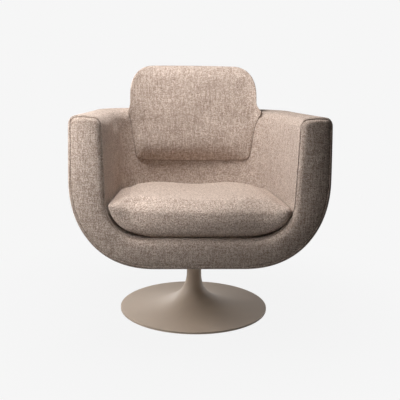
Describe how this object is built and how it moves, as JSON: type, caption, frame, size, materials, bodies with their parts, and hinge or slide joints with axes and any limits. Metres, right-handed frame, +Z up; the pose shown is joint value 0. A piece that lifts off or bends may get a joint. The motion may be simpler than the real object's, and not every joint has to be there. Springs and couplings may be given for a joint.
{
  "type": "pedestal swivel armchair",
  "caption": "Upholstered tub armchair with a raised headrest, a bordered front, a padded back and a loose seat cushion, turning on a painted trumpet base.",
  "frame": {"origin": "the swivel axis at the floor, in the middle of the base's flat underside", "axes": "+Z up along the swivel axis, +Y towards the chair's back, the sitter faces -Y, +X towards the chair's left arm as seen by the sitter"},
  "size_m": [0.764, 0.7618, 0.7961],
  "materials": {
    "base_paint": "matt taupe powder coat on the spun steel base",
    "ballast": "rough cast, blackened",
    "pad_rubber": "matt black",
    "bright_steel": "zinc plated and turned steel",
    "spring_steel": "phosphated spring steel",
    "bush_plastic": "natural acetal",
    "cage_brass": "pressed brass",
    "hub_paint": "satin black paint",
    "timber": "unfinished beech ply and beech",
    "webbing": "woven elastic webbing",
    "foam": "cut polyurethane foam",
    "wadding": "bonded polyester wadding",
    "upholstery": "coarse woven beige and taupe melange cloth"
  },
  "bodies": {
    "pedestal": {"base_trumpet": "base_paint", "ballast_plate": "ballast", "floor_pad": "pad_rubber", "column_tube": "bright_steel", "column_washer": "bright_steel", "column_nut": "bright_steel", "column_plug": "pad_rubber", "upper_bush": "bush_plastic", "lower_bush": "bush_plastic", "lower_race": "bright_steel"},
    "seat": {"swivel_spindle": "bright_steel", "retaining_clip": "spring_steel", "spindle_washer": "bright_steel", "ball_cage": "cage_brass", "bearing_balls": "bright_steel", "upper_race": "bright_steel", "hub_plate": "hub_paint", "plate_bolts": "bright_steel", "plate_washers": "bright_steel", "tee_nuts": "bright_steel", "seat_board": "timber", "seat_rail_left": "timber", "seat_rail_right": "timber", "seat_webbing": "webbing", "front_former": "timber", "rear_former": "timber", "waist_rail": "timber", "arm_posts": "timber", "arm_top_rail": "timber", "arm_top_pad": "foam", "headrest_panel": "timber", "headrest_body": "upholstery", "outer_wadding": "wadding", "outer_cover": "upholstery", "inner_foam": "foam", "inner_lining": "upholstery", "front_border": "upholstery", "back_pad": "upholstery"},
    "cushion": {"seat_cushion": "upholstery"}
  },
  "joints": [
    {"name": "swivel", "type": "hinge", "parent": "pedestal", "child": "seat", "pos_m": [0, 0, 0.19], "axis": [0, 0, 1], "continuous": true},
    {"name": "cushion_lift", "type": "slide", "parent": "seat", "child": "cushion", "axis": [0, -0.4305, 0.9026], "range_m": [0, 0.45]}
  ]
}
